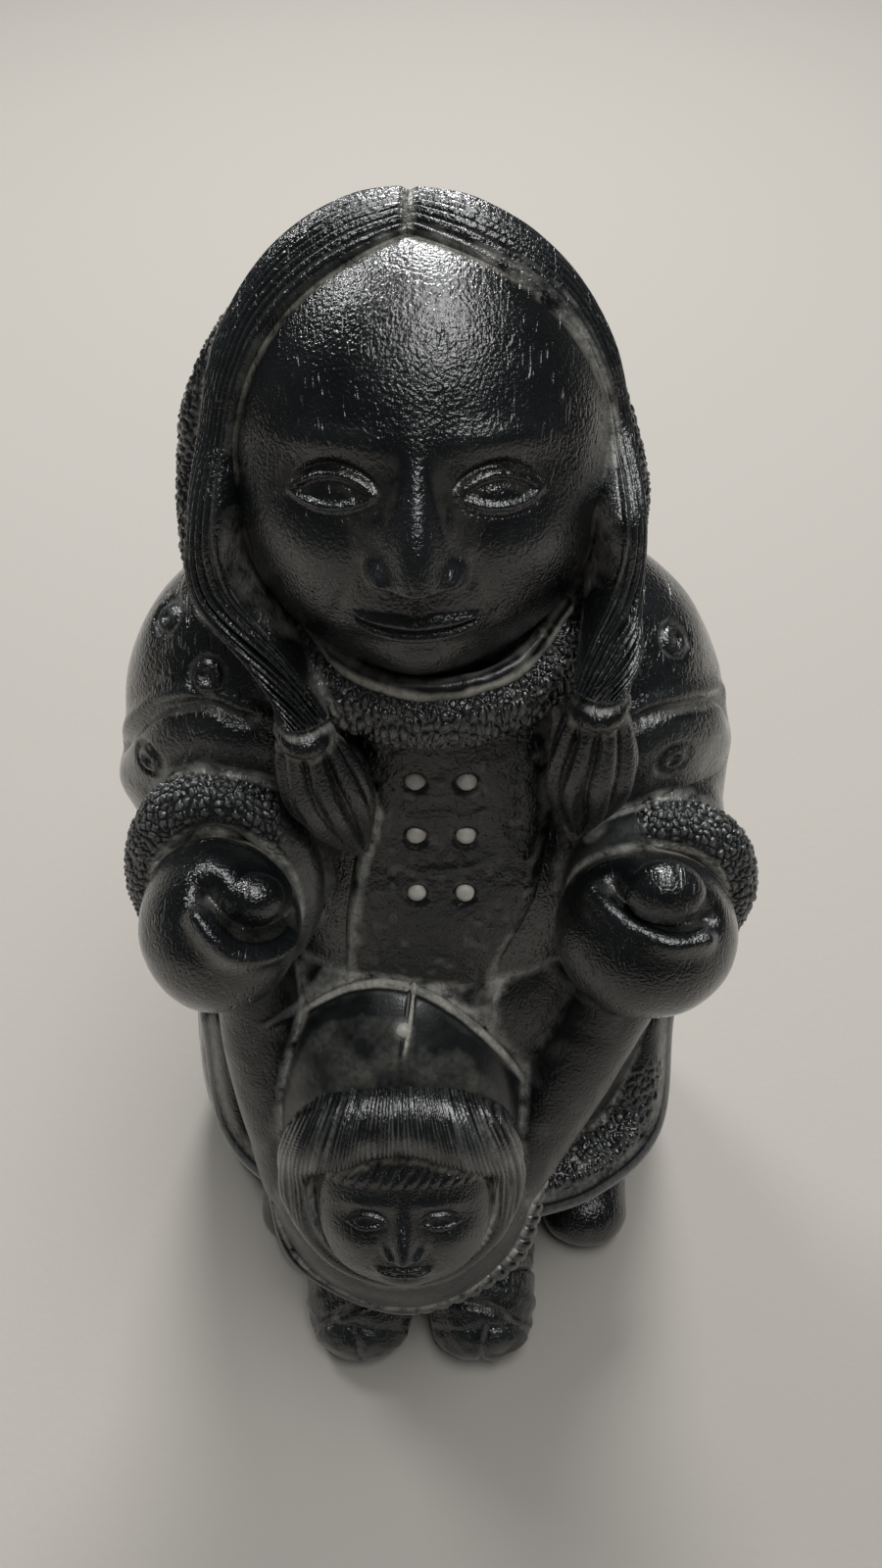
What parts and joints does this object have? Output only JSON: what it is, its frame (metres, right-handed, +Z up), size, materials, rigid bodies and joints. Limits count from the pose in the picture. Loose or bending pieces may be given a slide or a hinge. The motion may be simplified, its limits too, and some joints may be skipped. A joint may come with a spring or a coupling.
{
  "type": "mother and child sculpture",
  "caption": "Small polished dark stone figure of a mother in a hooded fur-trimmed parka standing behind her child, on a flat foot.",
  "frame": {"origin": "on the ground, under the middle of the figure's bounding box", "axes": "+Z up, the figures face -Y, +X is the figures' left"},
  "size_m": [0.0554, 0.0558, 0.1083],
  "materials": {
    "polished_stone": "polished near-black stone",
    "worn_stone": "near-black stone with a carved fur texture, pale dust in the cuts",
    "pale_dust": "pale rubbed stone"
  },
  "bodies": {
    "root": {"mother_head": "polished_stone", "child_head": "polished_stone", "button_1": "pale_dust", "button_2": "pale_dust", "button_3": "pale_dust", "button_4": "pale_dust", "button_5": "pale_dust", "button_6": "pale_dust", "thumb_right": "polished_stone", "mitten_right": "polished_stone", "thumb_left": "polished_stone", "mitten_left": "polished_stone", "parka_body": "polished_stone", "chest_panel": "polished_stone", "parka_skirt": "polished_stone", "parka_tail": "polished_stone", "hair_tie_right": "polished_stone", "hair_tassel_right": "polished_stone", "hair_lock_right": "polished_stone", "hair_tie_left": "polished_stone", "hair_tassel_left": "polished_stone", "hair_lock_left": "polished_stone", "collar_rim": "worn_stone", "collar_fur": "worn_stone", "hood_fur": "worn_stone", "hood": "polished_stone", "hair_left": "polished_stone", "hair_right": "polished_stone", "cuff_fur_right": "worn_stone", "sleeve_right": "polished_stone", "cuff_fur_left": "worn_stone", "sleeve_left": "polished_stone", "shoulder_right": "polished_stone", "shoulder_left": "polished_stone", "mother_boot_right": "polished_stone", "mother_boot_left": "polished_stone", "child_hood_button": "pale_dust", "child_hood_fur": "worn_stone", "child_boot_right": "polished_stone", "child_boot_left": "polished_stone", "child_hem": "worn_stone", "child_hood": "polished_stone", "child_arm_right": "polished_stone", "child_arm_left": "polished_stone", "child_parka": "polished_stone", "hem_fur_right": "worn_stone", "hem_fur_left": "worn_stone"}
  },
  "joints": []
}
